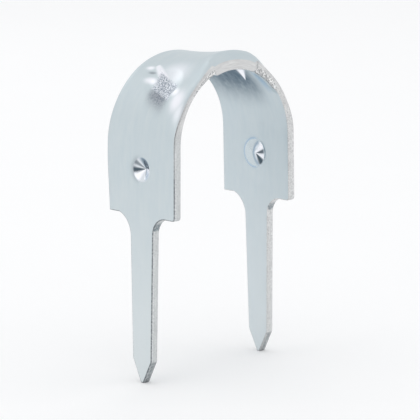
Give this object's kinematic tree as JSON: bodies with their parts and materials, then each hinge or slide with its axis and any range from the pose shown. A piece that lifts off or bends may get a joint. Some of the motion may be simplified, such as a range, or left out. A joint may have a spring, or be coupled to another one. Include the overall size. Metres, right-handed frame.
{
  "type": "conduit clip",
  "caption": "Drive-in clip bent from a steel strip: a U-shaped saddle that holds round conduit, with a pressed crown and two pointed prongs that are hammered into a wall.",
  "frame": {"origin": "on the axis of the held conduit, at the middle of the strip's width", "axes": "+Z away from the wall, from the prongs to the crown; +Y along the conduit, away from the higher edge of the crown; X from leg to leg"},
  "size_m": [0.0188, 0.0104, 0.0357],
  "materials": {
    "zinc_plated_steel": "satin bright zinc plate, mirror-like where the press struck it"
  },
  "bodies": {
    "root": {"conduit_clip": "zinc_plated_steel"}
  },
  "joints": []
}
